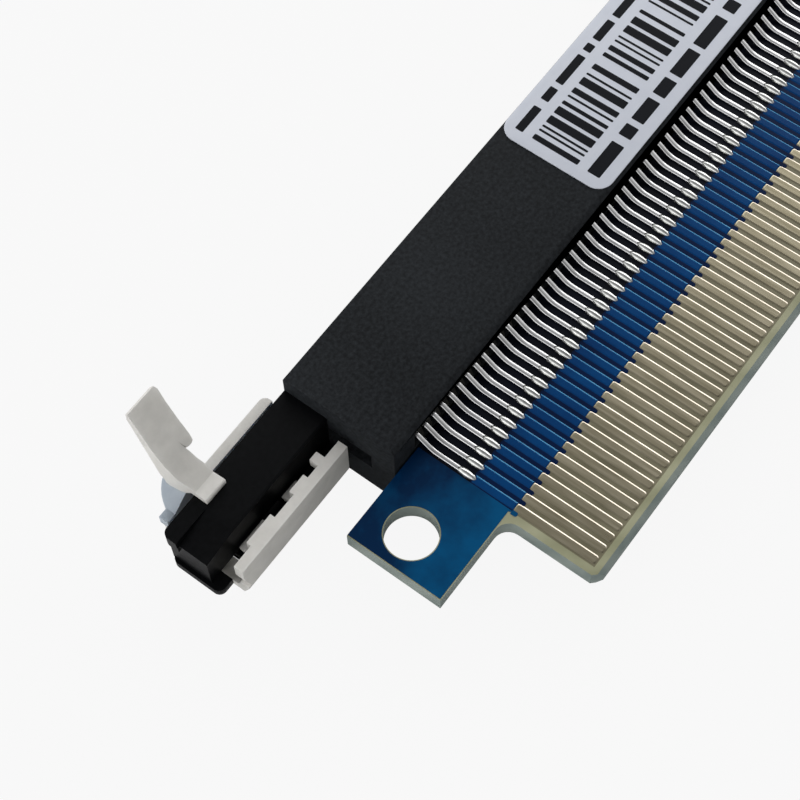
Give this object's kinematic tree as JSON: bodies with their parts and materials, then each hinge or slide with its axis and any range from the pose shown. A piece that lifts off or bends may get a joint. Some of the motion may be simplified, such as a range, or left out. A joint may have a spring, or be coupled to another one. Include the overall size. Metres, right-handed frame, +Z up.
{
  "type": "pci express extension adapter",
  "caption": "Short edge-connector board that carries a full-length card slot with a swinging retention latch.",
  "frame": {"origin": "middle of the slot housing's lower side wall, which the adapter lies on", "axes": "+Z up, square to the board; +X along the connector, away from the latch; +Y out of the slot's mouth"},
  "size_m": [0.1029, 0.0312, 0.0133],
  "materials": {
    "housing_plastic": "matte charcoal moulded glass-filled nylon",
    "circuit_board": "blue solder mask over glass-fibre laminate, with plated fingers",
    "tinned_contacts": "bright tin plate on stamped strip",
    "latch_base_plastic": "black moulded nylon",
    "label_film": "satin white film",
    "latch_nylon": "milky natural nylon"
  },
  "bodies": {
    "adapter": {"slot_housing": "housing_plastic", "edge_board": "circuit_board", "front_contacts_long": "tinned_contacts", "front_contacts_short": "tinned_contacts", "back_contacts_long": "tinned_contacts", "back_contacts_short": "tinned_contacts", "latch_base": "latch_base_plastic", "label": "label_film"},
    "latch": {"retention_latch": "latch_nylon"}
  },
  "joints": [
    {"name": "latch_swing", "type": "hinge", "parent": "adapter", "child": "latch", "pos_m": [-0.0445, 0.00017, 0.00275], "axis": [1, 0, 0], "range_deg": [0, 10]}
  ]
}
